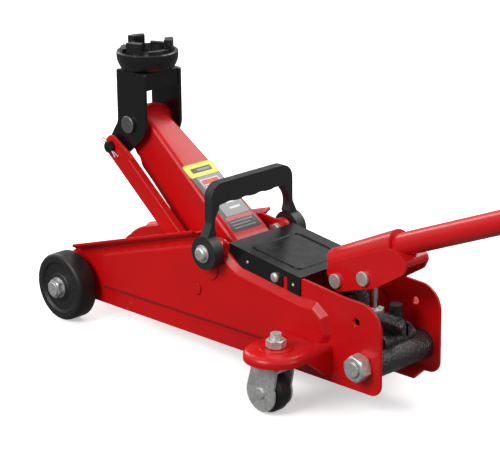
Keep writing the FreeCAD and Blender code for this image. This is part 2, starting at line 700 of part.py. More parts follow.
# ---- hydraulic unit ---------------------------------------------------------
def power_unit():
    rear = TANK_X[1]
    block = box(rear, BLOCK_X, -BLOCK_HALF, BLOCK_HALF, RAM_Z - TANK_R, PUMP_TOP - 12)
    neck = prism_y([(BLOCK_X - 4, 38), (TRUNNION[0], 38), (TRUNNION[0], 64), (VALVE_FACE, 64, 3),
                    (VALVE_FACE, 74, 6), (BLOCK_X - 4, 76)], 6 - BLOCK_HALF, BLOCK_HALF - 6)
    tube = cyl_y(TRUNNION, TRUNNION_R, -PLATE_IN, PLATE_IN)
    pump = cyl_z((PUMP_X, 0), PUMP_R, 60, PUMP_TOP)
    bridge = box(rear, BLOCK_X, -PUMP_R, PUMP_R, 60, PUMP_TOP - 1)
    ear_half = 7
    ear = prism_y([(rear, PUMP_TOP - 2), (rear + 7, PUMP_TOP - 2), (rear + 7, PUMP_TOP + 8), (341, 115),
                   (326, 106)], -ear_half, ear_half)
    ear_end = cyl_y(SOCKET_PIVOT, SOCKET_PIN_R + 4, -ear_half, ear_half)
    valve = cyl_x(VALVE, VALVE_R, VALVE_FACE - 21, VALVE_FACE)
    filler = cyl_z(FILLER, FILLER_R, 60, PUMP_TOP)
    anchor = cyl_y(SPRING_ANCHOR, PEG_R, BLOCK_HALF - 1, SPRING_Y + 4)
    unit = fuse(block, neck, tube, pump, bridge, ear, ear_end, valve, filler, anchor, mirrored(anchor))
    unit = unit.cut(cyl_y(TRUNNION, STUD_R, -60, 60)).cut(cyl_y(SOCKET_PIVOT, SOCKET_PIN_R + FIT, -20, 20))
    unit = unit.cut(cyl_z((PUMP_X, 0), PLUNGER_R + 0.5, 62, PUMP_TOP + 16))
    unit = unit.cut(cyl_x(VALVE, VALVE_STEM_R + FIT, VALVE_FACE - 14, VALVE_FACE + 2))
    return unit.cut(cyl_x((0, RAM_Z), TANK_R - TANK_WALL, rear - 1, rear + 8))


def reservoir_tube():
    bore = cyl_x((0, RAM_Z), TANK_R - TANK_WALL, TANK_X[0] - 10, TANK_X[1] + 12)
    return cyl_x((0, RAM_Z), TANK_R, *TANK_X).cut(bore)


def cylinder_gland():
    cap = cyl_x((0, RAM_Z), TANK_R, TANK_X[0] - GLAND, TANK_X[0])
    spigot = cyl_x((0, RAM_Z), TANK_R - TANK_WALL, TANK_X[0], TANK_X[0] + 14)
    return fuse(cap, spigot).cut(cyl_x((0, RAM_Z), RAM_R + FIT, TANK_X[0] - 20, TANK_X[0] + 30))


def ram():
    x, _ = RAM_PIVOT
    low = RAM_Z - RAM_R - 7
    high = RAM_Z + RAM_R + 6
    head = prism_y([(x - 13, low, 5), (x + 12, low, 5), (x + 12, high, 5), (x - 13, high, 5)],
                   -RAM_HEAD_HALF, RAM_HEAD_HALF)
    rod = cyl_x((0, RAM_Z), RAM_R, x + 8, x + 118)
    half = RAM_PIN_R + 1
    bottom = RAM_Z - RAM_PIN_R - 5
    top = RAM_Z + RAM_PIN_R + 4.4
    ease = half - 0.5
    slot = prism_y([(x - half, bottom, ease), (x + half, bottom, ease), (x + half, top, ease),
                    (x - half, top, ease)], -2 * RAM_HEAD_HALF, 2 * RAM_HEAD_HALF)
    return fuse(head, rod).cut(slot)


def pump_gland():
    gland = hex_z((PUMP_X, 0), 2 * PUMP_R - 5, PUMP_TOP, PUMP_TOP + 5)
    return gland.cut(cyl_z((PUMP_X, 0), PLUNGER_R + FIT, PUMP_TOP - 24, PUMP_TOP + 16))


def plunger():
    x, z = PUMP_PIN
    rod = cyl_z((PUMP_X, 0), PLUNGER_R, 70, z - 6)
    low = PUMP_PIN_R + 0.9
    head = prism_y([(x - 15, z - low - 3, 4), (x + 9, z - low - 3, 4), (x + 9, z + low + 2.6, 4),
                    (x - 15, z + low + 2.6, 5)], -7, 7)
    slot = prism_y([(x - 11.8, z - low, 4), (x + 5.8, z - low, 4), (x + 5.8, z + low, 4),
                    (x - 11.8, z + low, 4)], -20, 20)
    return fuse(rod, head).cut(slot)


def filler_plug():
    collar = cyl_z(FILLER, FILLER_R - 0.5, PUMP_TOP, PUMP_TOP + 2)
    return fuse(hex_z(FILLER, 11, PUMP_TOP, PUMP_TOP + 9), collar)


def release_valve():
    end = VALVE_FACE + 9
    slot = box(end - 4, end + 3, VALVE[0] - 1.5, VALVE[0] + 1.5, VALVE[1] - 20, VALVE[1] + 20)
    knob = cyl_x(VALVE, VALVE_R - 1, VALVE_FACE + GAP, end).cut(slot)
    return fuse(knob, cyl_x(VALVE, VALVE_STEM_R, VALVE_FACE - 12, VALVE_FACE + 1))


def trunnion_stud():
    return cyl_y(TRUNNION, STUD_R, -PLATE_OUT - STUD_OUT, PLATE_OUT + STUD_OUT)


def trunnion_nut():
    nut = hex_y(TRUNNION, TRUNNION_FLATS, PLATE_OUT, PLATE_OUT + TRUNNION_NUT)
    return nut.cut(cyl_y(TRUNNION, STUD_R, PLATE_OUT - 10, PLATE_OUT + TRUNNION_NUT + 8))


def return_spring():
    start = Vec(SPRING_PEG[0], SPRING_Y, SPRING_PEG[1])
    run = Vec(SPRING_ANCHOR[0] - SPRING_PEG[0], 0, SPRING_ANCHOR[1] - SPRING_PEG[1])
    way = Vec(run)
    way.normalize()
    margin = 9.0
    eye_in = PEG_R + 0.1
    eye_out = eye_in + 1.3
    coil = Part.makeCylinder(SPRING_R, run.Length - 2 * margin, start + way * margin, way)
    shapes = [coil.cut(Part.makeCylinder(SPRING_R - SPRING_WIRE, run.Length, start, way))]
    for spot, sign in ((start, 1), (start + run, -1)):
        eye = cyl_y((spot.x, spot.z), eye_out, SPRING_Y - 0.8, SPRING_Y + 0.8)
        eye = eye.cut(cyl_y((spot.x, spot.z), eye_in, SPRING_Y - 2, SPRING_Y + 2))
        stem = Part.makeCylinder(0.8, margin - eye_in, spot + way * ((eye_in + 0.5) * sign), way * sign)
        plate = Part.makeCylinder(SPRING_R, SPRING_WIRE, spot + way * (margin * sign), way * sign)
        shapes += [eye, stem, plate]
    return fuse(*shapes)


# ---- pump socket and handle -------------------------------------------------
def handle_socket():
    tail = along_handle(-SOCKET_LEN)
    cone = on_handle(tail, SOCKET_LEN, SOCKET_TAIL_R, SOCKET_MOUTH_R)
    cheek_line = [along_handle(4 - SOCKET_LEN), (321, 114.5, 3), (332, 99.5, 5), (380, 115, 8), (412, 135, 6),
                  (418, 147, 6), (409, 152, 4), along_handle(0)]
    cheeks = prism_y(cheek_line, -SOCKET_HALF, SOCKET_HALF)
    inner = on_handle(tail, SOCKET_LEN, SOCKET_TAIL_R - SOCKET_WALL, SOCKET_MOUTH_R - SOCKET_WALL)
    under = -HANDLE_R - 0.7
    shelf = -HANDLE_DEPTH
    channel = prism_y([along_handle(-SOCKET_LEN - 10, -2), (310, 90), (430, 90), (430, 148),
                       along_handle(1, -SOCKET_MOUTH_R - 5.5), along_handle(shelf + 2, under - 2.3),
                       along_handle(shelf, under), along_handle(shelf - 7.5, under),
                       along_handle(shelf - 8.5, -2)], 3 - SOCKET_HALF, SOCKET_HALF - 3)
    socket = fuse(cone, cheeks).cut(channel).cut(on_handle(tail, SOCKET_LEN - HANDLE_DEPTH + 1, 7.2))
    socket = socket.cut(inner.common(on_handle(tail, SOCKET_LEN - HANDLE_DEPTH - 4, 30)))
    socket = socket.cut(on_handle(along_handle(-HANDLE_DEPTH), HANDLE_DEPTH + 30, HANDLE_R + FIT))
    for spot, radius in ((SOCKET_PIVOT, SOCKET_PIN_R), (PUMP_PIN, PUMP_PIN_R)):
        socket = socket.cut(cyl_y(spot, radius, -30, 30))
    return socket


def socket_pin(spot, radius):
    half = fuse(cyl_y(spot, radius, 0, SOCKET_HALF),
                cyl_y(spot, PIN_HEAD_R, SOCKET_HALF, SOCKET_HALF + PIN_HEAD))
    return fuse(half, mirrored(half))


def socket_pivot_pin():
    return socket_pin(SOCKET_PIVOT, SOCKET_PIN_R)


def pump_pin():
    return socket_pin(PUMP_PIN, PUMP_PIN_R)


def handle_tube():
    start = along_handle(-HANDLE_DEPTH)
    length = HANDLE_DEPTH + HANDLE_OUT - 3
    return on_handle(start, length, HANDLE_R).cut(on_handle(start, length, HANDLE_R - HANDLE_WALL))


def handle_grip():
    sleeve = on_handle(along_handle(HANDLE_OUT - GRIP_LEN), GRIP_LEN, GRIP_R)
    return sleeve.cut(on_handle(along_handle(HANDLE_OUT - GRIP_LEN - 1), GRIP_LEN - 2, HANDLE_R))


def carry_handle():
    x0 = CARRY[0] - CARRY_DEPTH / 2
    x1 = CARRY[0] + CARRY_DEPTH / 2
    z = CARRY[1]
    outer = [(CARRY_OUT, z), (CARRY_OUT, z + 12, 5), (CARRY_LEG_OUT, z + 28, 8),
             (CARRY_LEG_OUT, CARRY_TOP, 14)]
    inner = [(CARRY_LEG_IN, CARRY_GRIP_Z + 2, 3), (CARRY_LEG_IN, z + 26, 8), (CARRY_IN, z + 14, 5),
             (CARRY_IN, z)]
    loop = outer + [(-p[0],) + p[1:] for p in reversed(outer)]
    loop += [(-p[0],) + p[1:] for p in reversed(inner)] + inner
    boss = cyl_y(CARRY, CARRY_BOSS_R, CARRY_IN, CARRY_OUT)
    handle = fuse(prism_x(loop, x0, x1), boss, mirrored(boss))
    for y in (-30, -10, 10, 30):
        handle = handle.cut(cyl_x((y, CARRY_GRIP_Z + FINGER_DEPTH - FINGER_R), FINGER_R, x0 - 5, x1 + 5))
    return handle.cut(cyl_y(CARRY, CARRY_BOLT_R + FIT, -80, 80))


# ---- build ------------------------------------------------------------------
PAIRS = [side_plate, cover_stud, front_axle, front_wheel, axle_washer, axle_nut, link_stub, carry_bolt,
         caster_bracket, caster_fork, caster_wheel, caster_axle, caster_nut, link_rod, return_spring,
         trunnion_nut]
SINGLES = [top_cover, main_shaft, front_tie, lift_arm, ram_pin, saddle_bracket, saddle_pin, saddle,
           saddle_ring, link_pin, split_pin, power_unit, reservoir_tube, cylinder_gland, ram, pump_gland,
           plunger, filler_plug, release_valve, trunnion_stud, handle_socket, socket_pivot_pin, pump_pin,
           handle_tube, handle_grip, carry_handle]


def place(shape):
    moved = shape.copy()
    moved.translate(Vec(-MIDDLE_X, 0, 0))
    return moved


def main():
    os.makedirs("parts", exist_ok=True)
    for make in PAIRS:
        right = make()
        for side, shape in (("right", right), ("left", mirrored(right))):
            place(shape).exportStep("parts/%s_%s.step" % (make.__name__, side))
    for make in SINGLES:
        place(make()).exportStep("parts/%s.step" % make.__name__)


main()
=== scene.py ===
import json
import math

import bmesh
import bpy
from mathutils import Matrix, Vector


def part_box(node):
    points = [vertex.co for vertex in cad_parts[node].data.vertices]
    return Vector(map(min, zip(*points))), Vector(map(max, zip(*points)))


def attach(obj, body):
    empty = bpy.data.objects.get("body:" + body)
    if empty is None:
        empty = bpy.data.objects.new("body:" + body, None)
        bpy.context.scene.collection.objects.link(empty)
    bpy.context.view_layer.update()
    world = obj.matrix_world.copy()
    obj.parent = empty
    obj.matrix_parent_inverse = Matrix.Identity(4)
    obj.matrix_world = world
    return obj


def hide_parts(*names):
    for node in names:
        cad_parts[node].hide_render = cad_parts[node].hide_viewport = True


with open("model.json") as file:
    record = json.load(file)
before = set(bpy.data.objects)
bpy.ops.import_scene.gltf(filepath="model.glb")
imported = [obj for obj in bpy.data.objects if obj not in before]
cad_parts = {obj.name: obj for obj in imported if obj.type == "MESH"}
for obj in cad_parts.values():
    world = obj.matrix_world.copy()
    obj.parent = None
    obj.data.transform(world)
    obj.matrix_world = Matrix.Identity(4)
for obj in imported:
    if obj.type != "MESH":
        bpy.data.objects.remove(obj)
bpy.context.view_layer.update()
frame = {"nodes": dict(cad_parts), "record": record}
cadNodes = frame["nodes"]
nodeBody = {n: body for body, members in frame["record"]["behaviour"]["bodies"].items() for n in members}
nodeSlot = {s["node"]: s["material_slot"] for s in frame["record"]["subparts"]}
print("frame loaded,", len(cadNodes), "nodes")

wheelLow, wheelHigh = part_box("front_wheel_left")
axleX = (wheelLow.x + wheelHigh.x) / 2
sides = (("left", -1), ("right", 1))


# Millimetres, x from the front axle, to the row frame in metres.
def spot(x, y, z):
    return Vector((axleX + x / 1000, y / 1000, z / 1000))


def startGroup(name, inputs, outputs):
    group = bpy.data.node_groups.new(name, "ShaderNodeTree")
    for label, value in inputs:
        socket = group.interface.new_socket(label, in_out="INPUT", socket_type="NodeSocketFloat")
        socket.default_value = value
    for label in outputs:
        group.interface.new_socket(label, in_out="OUTPUT", socket_type="NodeSocketFloat")
    return group, group.nodes.new("NodeGroupInput"), group.nodes.new("NodeGroupOutput")


def addNode(tree, kind, inputs=None, **settings):
    node = tree.nodes.new(kind)
    for key, value in settings.items():
        setattr(node, key, value)
    for key, value in (inputs or {}).items():
        if isinstance(value, bpy.types.NodeSocket):
            tree.links.new(value, node.inputs[key])
        else:
            node.inputs[key].default_value = value
    return node


def mathNode(tree, operation, a, b=0.5, c=None):
    inputs = {0: a, 1: b}
    if c is not None:
        inputs[2] = c
    return addNode(tree, "ShaderNodeMath", inputs, operation=operation).outputs[0]


def rangeNode(tree, value, low, high, toLow=0.0, toHigh=1.0):
    node = addNode(tree, "ShaderNodeMapRange", {"Value": value, "From Min": low, "From Max": high,
                                                "To Min": toLow, "To Max": toHigh}, clamp=True)
    return node.outputs["Result"]


def objectPlace(tree):
    return tree.nodes.new("ShaderNodeTexCoord").outputs["Object"]


def noiseNode(tree, place, scale, detail, roughness=0.5):
    inputs = {"Vector": place, "Scale": scale, "Detail": detail, "Roughness": roughness}
    return addNode(tree, "ShaderNodeTexNoise", inputs).outputs["Fac"]


flowSettings = {"peelDetail": 1.0, "cloudScale": 9.0, "cloudDetail": 4.0}


def makePaintFlow():
    group, source, sink = startGroup("paintFlow", [("Scale", 500.0)], ["Height", "Tone"])
    place = objectPlace(group)
    peel = noiseNode(group, place, source.outputs["Scale"], flowSettings["peelDetail"])
    cloud = noiseNode(group, place, flowSettings["cloudScale"], flowSettings["cloudDetail"])
    group.links.new(peel, sink.inputs["Height"])
    group.links.new(cloud, sink.inputs["Tone"])
    return group


veilSettings = {"upward": (0.2, 1.0), "speck": (0.42, 0.75), "detail": 6.0}


# Dust lies on what faces up, in patches.
def makeDustVeil():
    group, source, sink = startGroup("dustVeil", [("Amount", 0.2), ("Scale", 60.0)], ["Mask"])
    place = objectPlace(group)
    normal = group.nodes.new("ShaderNodeNewGeometry").outputs["Normal"]
    facing = addNode(group, "ShaderNodeSeparateXYZ", {0: normal})
    upward = rangeNode(group, facing.outputs["Z"], *veilSettings["upward"])
    patch = noiseNode(group, place, source.outputs["Scale"], veilSettings["detail"])
    speck = rangeNode(group, patch, *veilSettings["speck"])
    mask = mathNode(group, "MULTIPLY", mathNode(group, "MULTIPLY", upward, speck), source.outputs["Amount"])
    group.links.new(mask, sink.inputs["Mask"])
    return group


castSettings = {"gritDetail": 3.0, "lumpDetail": 2.0, "lumpShare": 1.2, "cellShare": 0.5, "pitShade": (0.05, 0.4)}


# The Pits output marks the grain's hollows, where the casting's colour is darkened as painted shade.
def makeCastGrain():
    group, source, sink = startGroup("castGrain", [("Scale", 700.0), ("Lumps", 90.0)], ["Height", "PitShade"])
    place = objectPlace(group)
    grit = noiseNode(group, place, source.outputs["Scale"], castSettings["gritDetail"])
    lump = noiseNode(group, place, source.outputs["Lumps"], castSettings["lumpDetail"])
    voronoi = addNode(group, "ShaderNodeTexVoronoi", {"Vector": place, "Scale": source.outputs["Scale"]})
    cells = voronoi.outputs["Distance"]
    both = mathNode(group, "ADD", mathNode(group, "MULTIPLY", lump, castSettings["lumpShare"]), grit)
    raised = mathNode(group, "ADD", both, mathNode(group, "MULTIPLY", cells, castSettings["cellShare"]))
    group.links.new(raised, sink.inputs["Height"])
    group.links.new(rangeNode(group, cells, *castSettings["pitShade"]), sink.inputs["PitShade"])
    return group


rubSettings = {"stretch": (1.0, 9.0, 5.0), "detail": 8.0, "roughness": 0.65, "fieldScale": 22.0,
               "fieldDetail": 2.0, "streak": (0.6, 0.7), "area": (0.5, 0.65)}


def makeRubMarks():
    group, source, sink = startGroup("rubMarks", [("Scale", 40.0), ("Amount", 0.3)], ["Mask", "Height"])
    place = objectPlace(group)
    stretched = addNode(group, "ShaderNodeMapping", {"Vector": place, "Scale": rubSettings["stretch"]})
    line = noiseNode(group, stretched.outputs[0], source.outputs["Scale"], rubSettings["detail"],
                     rubSettings["roughness"])
    field = noiseNode(group, place, rubSettings["fieldScale"], rubSettings["fieldDetail"])
    streak = rangeNode(group, line, *rubSettings["streak"])
    area = rangeNode(group, field, *rubSettings["area"])
    mask = mathNode(group, "MULTIPLY", mathNode(group, "MULTIPLY", streak, area), source.outputs["Amount"])
    group.links.new(mask, sink.inputs["Mask"])
    group.links.new(line, sink.inputs["Height"])
    return group


effects = {"paintFlow": makePaintFlow(), "dustVeil": makeDustVeil(), "castGrain": makeCastGrain(),
           "rubMarks": makeRubMarks()}


def placeEffect(tree, name, **values):
    node = tree.nodes.new("ShaderNodeGroup")
    node.node_tree = effects[name]
    for key, value in values.items():
        node.inputs[key].default_value = value
    return node


def startMaterial(name, **constants):
    material = bpy.data.materials.new(name)
    material.use_nodes = True
    tree = material.node_tree
    tree.nodes.clear()
    shader = tree.nodes.new("ShaderNodeBsdfPrincipled")
    sink = tree.nodes.new("ShaderNodeOutputMaterial")
    tree.links.new(shader.outputs[0], sink.inputs[0])
    for key, value in constants.items():
        shader.inputs[key.replace("_", " ")].default_value = value
    return material, tree, shader


def mixColours(tree, factor, a, b):
    node = tree.nodes.new("ShaderNodeMix")
    node.data_type = "RGBA"
    for socket, value in ((node.inputs[0], factor), (node.inputs[6], a), (node.inputs[7], b)):
        if isinstance(value, bpy.types.NodeSocket):
            tree.links.new(value, socket)
        else:
            socket.default_value = value
    return node.outputs[2]


def bumpNormal(tree, shader, height, strength, distance):
    bump = addNode(tree, "ShaderNodeBump", {"Height": height, "Strength": strength, "Distance": distance})
    tree.links.new(bump.outputs[0], shader.inputs["Normal"])


def makePaint(name, colour, deep, roughness, peel, dust, rub, bend=1.38):
    material, tree, shader = startMaterial(name, IOR=bend)
    flow = placeEffect(tree, "paintFlow", Scale=peel["scale"])
    veil = placeEffect(tree, "dustVeil", Amount=dust, Scale=90.0)
    marks = placeEffect(tree, "rubMarks", Scale=46.0, Amount=rub)
    tone = mixColours(tree, rangeNode(tree, flow.outputs["Tone"], 0.35, 0.65), (*deep, 1), (*colour, 1))
    dusty = mixColours(tree, veil.outputs["Mask"], tone, (0.42, 0.38, 0.34, 1))
    tree.links.new(dusty, shader.inputs["Base Color"])
    worn = mathNode(tree, "ADD", marks.outputs["Mask"], veil.outputs["Mask"])
    tree.links.new(rangeNode(tree, worn, 0.0, 1.0, roughness, roughness + 0.4), shader.inputs["Roughness"])
    bumpNormal(tree, shader, flow.outputs["Height"], peel["strength"], 0.0004)
    return material


def makeCasting(name, colour, roughness, grain, bend=1.5):
    material, tree, shader = startMaterial(name, IOR=bend)
    cast = placeEffect(tree, "castGrain", Scale=grain["scale"], Lumps=grain["lumps"])
    veil = placeEffect(tree, "dustVeil", Amount=0.1, Scale=70.0)
    # Painted shade: the colour is darker in the pits of the cast grain.
    tone = mixColours(tree, cast.outputs["PitShade"], (*[c * 0.6 for c in colour], 1), (*colour, 1))
    dusty = mixColours(tree, veil.outputs["Mask"], tone, (0.3, 0.28, 0.26, 1))
    tree.links.new(dusty, shader.inputs["Base Color"])
    tree.links.new(rangeNode(tree, cast.outputs["Height"], 0.6, 1.8, roughness + 0.12, roughness - 0.05),
                   shader.inputs["Roughness"])
    bumpNormal(tree, shader, cast.outputs["Height"], grain["strength"], grain["depth"])
    return material


def makePlate(name, colour, roughness, metal=1.0):
    material, tree, shader = startMaterial(name, Metallic=metal)
    marks = placeEffect(tree, "rubMarks", Scale=160.0, Amount=0.8)
    flow = placeEffect(tree, "paintFlow", Scale=260.0)
    shade = (*[c * 0.72 for c in colour], 1)
    tone = mixColours(tree, rangeNode(tree, flow.outputs["Height"], 0.3, 0.7), shade, (*colour, 1))
    tree.links.new(tone, shader.inputs["Base Color"])
    tree.links.new(rangeNode(tree, marks.outputs["Height"], 0.3, 0.7, roughness - 0.06, roughness + 0.12),
                   shader.inputs["Roughness"])
    bumpNormal(tree, shader, marks.outputs["Height"], 0.12, 0.0002)
    return material


def makePlain(name, colour, roughness, grainScale=900.0, strength=0.2):
    material, tree, shader = startMaterial(name, IOR=1.46)
    cast = placeEffect(tree, "castGrain", Scale=grainScale, Lumps=40.0)
    veil = placeEffect(tree, "dustVeil", Amount=0.12, Scale=80.0)
    dusty = mixColours(tree, veil.outputs["Mask"], (*colour, 1), (0.3, 0.29, 0.27, 1))
    tree.links.new(dusty, shader.inputs["Base Color"])
    tree.links.new(rangeNode(tree, cast.outputs["Height"], 0.5, 1.9, roughness - 0.05, roughness + 0.08),
                   shader.inputs["Roughness"])
    bumpNormal(tree, shader, cast.outputs["Height"], strength, 0.0003)
    return material


jackRed = (0.62, 0.004, 0.004)
materials = {
    "redPaint": makePaint("redPaint", jackRed, (0.52, 0.004, 0.006), 0.3, {"scale": 420.0, "strength": 0.05},
                          0.05, 0.12),
    "redTube": makePaint("redTube", (0.64, 0.01, 0.012), (0.58, 0.006, 0.008), 0.24,
                         {"scale": 380.0, "strength": 0.04}, 0.03, 0.1, bend=1.45),
    "blackPaint": makePaint("blackPaint", (0.007, 0.007, 0.008), (0.005, 0.005, 0.006), 0.26,
                            {"scale": 700.0, "strength": 0.07}, 0.05, 0.2, bend=1.5),
    "saddleIron": makeCasting("saddleIron", (0.009, 0.009, 0.010), 0.24,
                              {"scale": 520.0, "lumps": 120.0, "strength": 0.5, "depth": 0.0007}),
    "unitCasting": makeCasting("unitCasting", (0.012, 0.012, 0.013), 0.16,
                               {"scale": 560.0, "lumps": 150.0, "strength": 0.75, "depth": 0.0012}, 1.75),
    "wheelIron": makePlain("wheelIron", (0.012, 0.012, 0.013), 0.42, 800.0, 0.2),
    "wheelFace": makeCasting("wheelFace", (0.014, 0.014, 0.015), 0.3,
                             {"scale": 330.0, "lumps": 160.0, "strength": 0.8, "depth": 0.0011}),
    "casterTread": makePlain("casterTread", (0.010, 0.010, 0.011), 0.3, 500.0, 0.12),
    "zinc": makePlate("zinc", (0.72, 0.72, 0.71), 0.42, 0.75),
    "darkPin": makePlate("darkPin", (0.07, 0.07, 0.075), 0.38),
    "greyPin": makePlate("greyPin", (0.3, 0.3, 0.31), 0.42),
    "springSteel": makePlate("springSteel", (0.32, 0.32, 0.33), 0.3),
    "chrome": makePlate("chrome", (0.78, 0.78, 0.8), 0.13),
    "carryPlastic": makePlain("carryPlastic", (0.016, 0.017, 0.018), 0.45, 1100.0, 0.25),
    "gripRubber": makePlain("gripRubber", (0.013, 0.013, 0.013), 0.6, 900.0, 0.3),
    "labelYellow": makePlain("labelYellow", (0.85, 0.72, 0.02), 0.3, 300.0, 0.02),
    "labelBlack": makePlain("labelBlack", (0.012, 0.012, 0.013), 0.3, 300.0, 0.02),
    "labelGrey": makePlain("labelGrey", (0.27, 0.27, 0.28), 0.3, 300.0, 0.02),
    "labelRed": makePlain("labelRed", (0.62, 0.03, 0.02), 0.3, 300.0, 0.02),
    "labelWhite": makePlain("labelWhite", (0.75, 0.75, 0.75), 0.3, 300.0, 0.02),
}
slotMaterial = {"red_paint": "redPaint", "handle_paint": "redTube", "black_paint": "blackPaint",
                "saddle_iron": "saddleIron", "unit_casting": "unitCasting", "wheel_iron": "wheelIron",
                "caster_tread": "casterTread", "zinc": "zinc", "dark_pin": "darkPin",
                "spring_steel": "springSteel", "chrome": "chrome", "carry_plastic": "carryPlastic",
                "grip_rubber": "gripRubber"}
print("materials made:", len(materials))


def smoothByAngle(mesh, degrees=33.0):
    mesh.polygons.foreach_set("use_smooth", [True] * len(mesh.polygons))
    mesh.set_sharp_from_angle(angle=math.radians(degrees))


def newPiece(name, mesh, body, material, slotName, *replaced):
    piece = bpy.data.objects.new(name, mesh)
    bpy.context.scene.collection.objects.link(piece)
    mesh.materials.clear()
    mesh.materials.append(materials[material])
    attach(piece, body)
    if replaced:
        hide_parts(*replaced)
    return piece


def meshFrom(name, points, faces):
    mesh = bpy.data.meshes.new(name)
    mesh.from_pydata([tuple(p) for p in points], [], faces)
    work = bmesh.new()
    work.from_mesh(mesh)
    bmesh.ops.remove_doubles(work, verts=work.verts, dist=1e-6)
    bmesh.ops.recalc_face_normals(work, faces=work.faces)
    work.to_mesh(mesh)
    work.free()
    return mesh


def joinMeshes(name, meshes):
    work = bmesh.new()
    for mesh in meshes:
        work.from_mesh(mesh)
    joined = bpy.data.meshes.new(name)
    work.to_mesh(joined)
    work.free()
    return joined


# The CAD node's mesh, welded, with its flat faces made whole again.
def weldedCopy(node):
    mesh = cadNodes[node].data.copy()
    mesh.name = node + "Skin"
    work = bmesh.new()
    work.from_mesh(mesh)
    bmesh.ops.remove_doubles(work, verts=work.verts, dist=2e-6)
    bmesh.ops.dissolve_limit(work, angle_limit=math.radians(0.8), verts=work.verts, edges=work.edges)
    work.to_mesh(mesh)
    work.free()
    for name in [a.name for a in mesh.attributes if a.name == "custom_normal"]:
        mesh.attributes.remove(mesh.attributes[name])
    return mesh


edgeSettings = {"segments": 2, "angle": 32.0}


def softEdges(piece, width):
    bevel = piece.modifiers.new("softEdges", "BEVEL")
    bevel.width = width / 1000
    bevel.segments = edgeSettings["segments"]
    bevel.limit_method = "ANGLE"
    bevel.angle_limit = math.radians(edgeSettings["angle"])
    bevel.use_clamp_overlap = True
    bevel.harden_normals = True
    bevel.miter_outer = "MITER_ARC"


def skinFor(node, width):
    mesh = weldedCopy(node)
    smoothByAngle(mesh)
    slotName = nodeSlot[node]
    piece = newPiece(node + "Skin", mesh, nodeBody[node], slotMaterial[slotName], slotName, node)
    softEdges(piece, width)
    return piece


# A profile of (radius, height) in mm, turned about an axis along Y.
def turnedMesh(name, profile, centre, steps):
    spin = Matrix.Rotation(-math.pi / 2, 3, "X")
    points = []
    faces = []
    count = len(profile)
    for k in range(steps):
        t = 2 * math.pi * k / steps
        for radius, height in profile:
            points.append(centre + spin @ Vector((radius * math.cos(t), radius * math.sin(t), height)) / 1000)
    for k in range(steps):
        following = (k + 1) % steps
        for i in range(count - 1):
            faces.append((k * count + i, following * count + i, following * count + i + 1, k * count + i + 1))
    mesh = meshFrom(name, points, faces)
    smoothByAngle(mesh)
    return mesh


# Hex nut with its corners turned off; it grows from centre along the axis (a unit vector).
def nutMesh(name, centre, axis, flats, thick, hole, chamfer, stepsPerFlat=8):
    apothem = flats / 2
    turned = apothem * chamfer
    side = Vector(axis)
    across = side.orthogonal().normalized()
    other = side.cross(across)
    steps = 6 * stepsPerFlat
    rings = []
    for k in range(steps):
        t = 2 * math.pi * k / steps
        local = (t % (math.pi / 3)) - math.pi / 6
        corner = apothem / math.cos(local)
        drop = max(0.0, corner - turned) * math.tan(math.radians(32))
        ring = [(hole, 0.6), (hole + 0.6, 0), (turned, 0), (corner, drop), (corner, thick - drop),
                (turned, thick), (hole + 0.9, thick), (hole, thick - 0.9)]
        outward = across * math.cos(t) + other * math.sin(t)
        rings.append([centre + (outward * r + side * h) / 1000 for r, h in ring])
    points = [p for ring in rings for p in ring]
    size = len(rings[0])
    faces = []
    for k in range(steps):
        following = (k + 1) % steps
        for i in range(size):
            j = (i + 1) % size
            faces.append((k * size + i, following * size + i, following * size + j, k * size + j))
    mesh = meshFrom(name, points, faces)
    smoothByAngle(mesh, 24.0)
    return mesh


def startTree(name, sockets):
    tree = bpy.data.node_groups.new(name, "GeometryNodeTree")
    tree.interface.new_socket("Geometry", in_out="INPUT", socket_type="NodeSocketGeometry")
    for label, kind, value in sockets:
        socket = tree.interface.new_socket(label, in_out="INPUT", socket_type="NodeSocket" + kind)
        if value is not None:
            socket.default_value = value
    tree.interface.new_socket("Geometry", in_out="OUTPUT", socket_type="NodeSocketGeometry")
    return tree, tree.nodes.new("NodeGroupInput"), tree.nodes.new("NodeGroupOutput")


def endTree(tree, source, sink, geometry):
    real = addNode(tree, "GeometryNodeRealizeInstances", {0: geometry})
    finish = addNode(tree, "GeometryNodeSetMaterial", {"Geometry": real.outputs[0],
                                                       "Material": source.outputs["Finish"]})
    tree.links.new(finish.outputs[0], sink.inputs[0])
    return tree


def circleNode(tree, steps, radius):
    inputs = {"Resolution": steps, "Radius": radius}
    return addNode(tree, "GeometryNodeCurvePrimitiveCircle", inputs).outputs[0]


def smoothNode(tree, geometry):
    return addNode(tree, "GeometryNodeSetShadeSmooth", {0: geometry}).outputs[0]


def turnNode(tree, angles):
    turned = tree.nodes.new("FunctionNodeEulerToRotation")
    tree.links.new(angles, turned.inputs[0])
    return turned.outputs[0]


# A wire wound round Z from 0 up, then turned and moved into place: springs and screw threads.
def makeCoilTree():
    tree, source, sink = startTree("coilTree", [
        ("Turns", "Float", 8.0), ("Radius", "Float", 0.004), ("Length", "Float", 0.02),
        ("Wire", "Float", 0.0005), ("Steps", "Int", 20), ("Turned", "Vector", None),
        ("Start", "Vector", None), ("Finish", "Material", None)])
    given = source.outputs
    spiral = addNode(tree, "GeometryNodeCurveSpiral", {
        "Resolution": given["Steps"], "Rotations": given["Turns"], "Start Radius": given["Radius"],
        "End Radius": given["Radius"], "Height": given["Length"]})
    body = addNode(tree, "GeometryNodeCurveToMesh", {
        "Curve": spiral.outputs[0], "Profile Curve": circleNode(tree, 8, given["Wire"]), "Fill Caps": True})
    moved = addNode(tree, "GeometryNodeTransform", {
        "Geometry": smoothNode(tree, body.outputs[0]), "Rotation": turnNode(tree, given["Turned"]),
        "Translation": given["Start"]})
    return endTree(tree, source, sink, moved.outputs[0])
